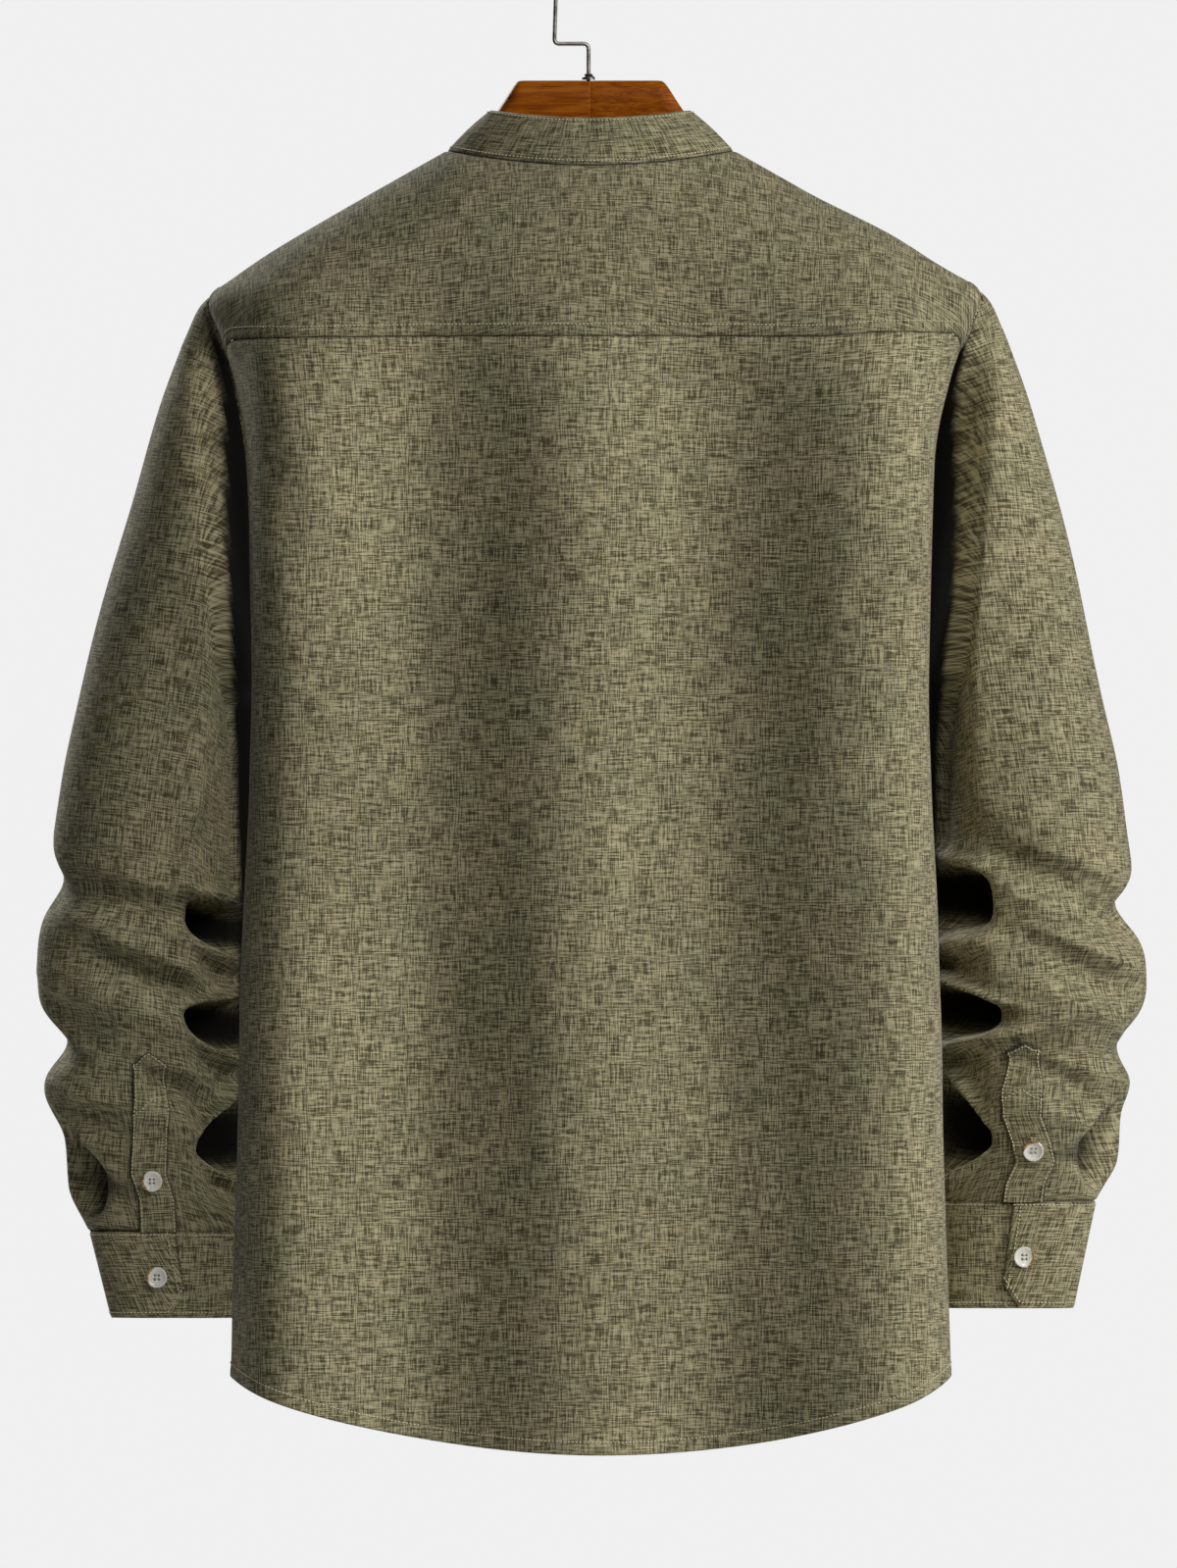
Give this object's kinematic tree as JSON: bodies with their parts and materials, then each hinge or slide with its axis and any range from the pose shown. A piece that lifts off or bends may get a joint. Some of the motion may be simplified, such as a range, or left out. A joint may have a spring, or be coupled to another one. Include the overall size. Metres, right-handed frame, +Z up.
{
  "type": "mandarin collar shirt on hanger",
  "caption": "Long-sleeved olive cotton shirt with a mandarin collar, back yoke, buttoned cuffs and a curved hem, on a wooden hanger",
  "frame": {"origin": "inside top of the hanger's hook, where a rod carries it", "axes": "+Z up, -Y the shirt's front, +X the wearer's left"},
  "size_m": [0.6819, 0.2417, 0.9154],
  "materials": {
    "cloth": "matte",
    "button": "gloss",
    "wood": "gloss",
    "wire": "satin"
  },
  "bodies": {
    "root": {"back": "cloth", "yoke": "cloth", "front_left": "cloth", "front_right": "cloth", "front_placket": "cloth", "collar": "cloth", "sleeve_left": "cloth", "sleeve_right": "cloth", "sleeve_placket_left": "cloth", "sleeve_placket_right": "cloth", "cuff_left": "cloth", "cuff_right": "cloth", "button_collar": "button", "button_front_1": "button", "button_front_2": "button", "button_front_3": "button", "button_front_4": "button", "button_front_5": "button", "button_front_6": "button", "button_front_7": "button", "button_cuff_left": "button", "button_cuff_right": "button", "button_gauntlet_left": "button", "button_gauntlet_right": "button", "hanger_wood": "wood", "hanger_hook": "wire", "hanger_ferrule": "wire"}
  },
  "joints": []
}
